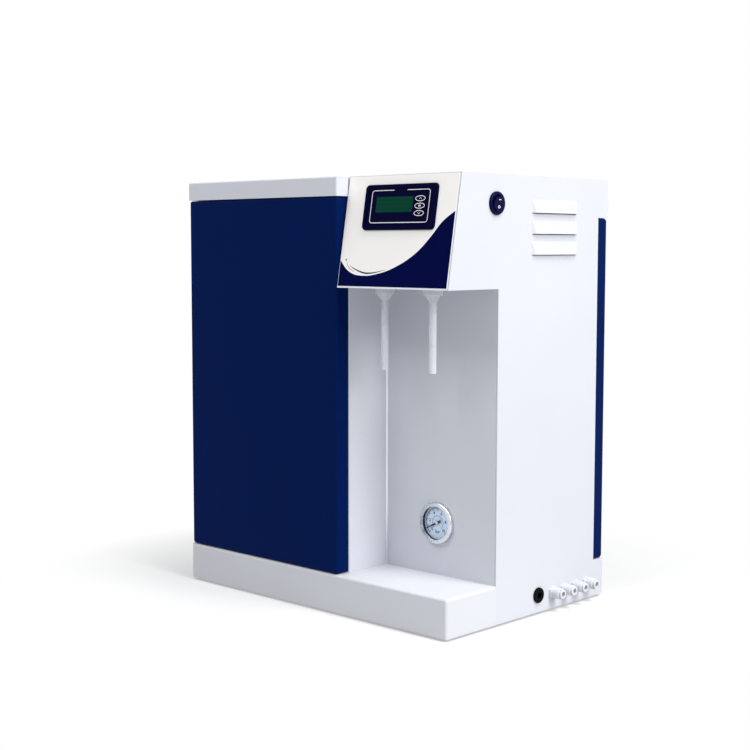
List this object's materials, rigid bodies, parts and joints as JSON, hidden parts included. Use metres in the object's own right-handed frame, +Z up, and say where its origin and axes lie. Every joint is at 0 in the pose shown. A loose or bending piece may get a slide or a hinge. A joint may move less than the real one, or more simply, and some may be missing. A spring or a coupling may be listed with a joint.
{
  "type": "ultrapure water system",
  "caption": "Benchtop ultrapure water system: sheet-steel cabinet with a hinged blue filter door, an open dispensing bay with hanging outlets and a gauge, and a leaning control head.",
  "frame": {"origin": "centre of the whole footprint, tube ports and rear screw heads included, at the level of the bench under the feet", "axes": "+X to the user's right, towards the dispensing bay; -Y towards the user; +Z up"},
  "size_m": [0.444, 0.2922, 0.503],
  "materials": {
    "white_paint": "satin powder coat",
    "blue_paint": "satin powder coat",
    "zinc": "zinc plated",
    "steel": "bright",
    "rubber": "matt",
    "black_plastic": "matt",
    "navy_plastic": "semi gloss",
    "white_plastic": "semi gloss",
    "clear_plastic": "translucent, semi gloss",
    "cream_film": "fine matt film, cream with a navy field",
    "green_window": "dark green, polished",
    "circuit_board": "solder mask",
    "gauge_ring": "polished",
    "clear_glass": "polished",
    "dial_face": "printed, pale blue",
    "brass": "machined",
    "blue_plastic": "moulded",
    "black_paint": "satin"
  },
  "bodies": {
    "cabinet": {"base_pan": "white_paint", "bottom_plate": "zinc", "rubber_feet": "rubber", "left_side_panel": "white_paint", "right_side_panel": "white_paint", "top_cover": "white_paint", "partition": "white_paint", "bay_back_wall": "white_paint", "upper_shelf": "white_paint", "head_front_panel": "white_paint", "rear_cover": "blue_paint", "rear_rails": "zinc", "rear_cover_screws": "steel", "door_hinge_pins": "steel", "magnetic_catch": "black_plastic", "panel_film": "cream_film", "display_bezel": "navy_plastic", "display_window": "green_window", "lcd_module": "zinc", "control_board": "circuit_board", "rocker_housing": "navy_plastic", "gauge_case": "black_paint", "gauge_bezel": "gauge_ring", "gauge_lens": "clear_glass", "gauge_dial": "dial_face", "gauge_socket": "brass", "gauge_clamp": "zinc", "outlet_collars": "clear_plastic", "outlet_tubes": "clear_plastic", "panel_nuts": "white_plastic", "port_bodies": "white_plastic", "mains_gland": "black_plastic", "sediment_cartridge": "white_plastic", "carbon_cartridge": "white_plastic", "scale_cartridge": "white_plastic", "filter_heads": "blue_plastic", "filter_bracket": "zinc", "membrane_housing": "white_plastic", "polishing_columns": "white_plastic", "column_rack": "zinc", "pump_head": "black_plastic", "pump_motor": "black_paint", "pump_bracket": "zinc", "solenoid_valves": "white_plastic", "power_supply": "zinc", "internal_tubes": "clear_plastic"},
    "door": {"door_skin": "blue_paint", "door_liner": "blue_paint", "door_bushes": "black_plastic", "catch_strike": "steel"},
    "rocker": {"rocker_paddle": "navy_plastic"},
    "key_upper": {"key_upper": "navy_plastic"},
    "key_middle": {"key_middle": "navy_plastic"},
    "key_lower": {"key_lower": "navy_plastic"},
    "needle": {"gauge_needle": "black_plastic"},
    "collet_1": {"port_collet_1": "white_plastic"},
    "collet_2": {"port_collet_2": "white_plastic"},
    "collet_3": {"port_collet_3": "white_plastic"},
    "collet_4": {"port_collet_4": "white_plastic"}
  },
  "joints": [
    {"name": "door_hinge", "type": "hinge", "parent": "cabinet", "child": "door", "pos_m": [-0.21255, -0.1366, 0.264], "axis": [0, 0, -1], "range_deg": [0, 110]},
    {"name": "rocker_pivot", "type": "hinge", "parent": "cabinet", "child": "rocker", "pos_m": [0.20555, -0.0669, 0.4711], "axis": [0, -1, 0], "range_deg": [0, 16]},
    {"name": "needle_turn", "type": "hinge", "parent": "cabinet", "child": "needle", "pos_m": [0.12025, -0.0621, 0.1076], "axis": [0, 1, 0], "range_deg": [-19, 251]},
    {"name": "key_upper_press", "type": "slide", "parent": "cabinet", "child": "key_upper", "axis": [0, 0.9855, -0.1695], "range_m": [0, 0.0006], "stiffness_N_per_m": 1500, "springref_m": -0.0002},
    {"name": "key_middle_press", "type": "slide", "parent": "cabinet", "child": "key_middle", "axis": [0, 0.9855, -0.1695], "range_m": [0, 0.0006], "stiffness_N_per_m": 1500, "springref_m": -0.0002},
    {"name": "key_lower_press", "type": "slide", "parent": "cabinet", "child": "key_lower", "axis": [0, 0.9855, -0.1695], "range_m": [0, 0.0006], "stiffness_N_per_m": 1500, "springref_m": -0.0002},
    {"name": "collet_1_press", "type": "slide", "parent": "cabinet", "child": "collet_1", "axis": [-1, 0, 0], "range_m": [0, 0.0012], "stiffness_N_per_m": 1000, "springref_m": -0.0002},
    {"name": "collet_2_press", "type": "slide", "parent": "cabinet", "child": "collet_2", "axis": [-1, 0, 0], "range_m": [0, 0.0012], "stiffness_N_per_m": 1000, "springref_m": -0.0002},
    {"name": "collet_3_press", "type": "slide", "parent": "cabinet", "child": "collet_3", "axis": [-1, 0, 0], "range_m": [0, 0.0012], "stiffness_N_per_m": 1000, "springref_m": -0.0002},
    {"name": "collet_4_press", "type": "slide", "parent": "cabinet", "child": "collet_4", "axis": [-1, 0, 0], "range_m": [0, 0.0012], "stiffness_N_per_m": 1000, "springref_m": -0.0002}
  ]
}
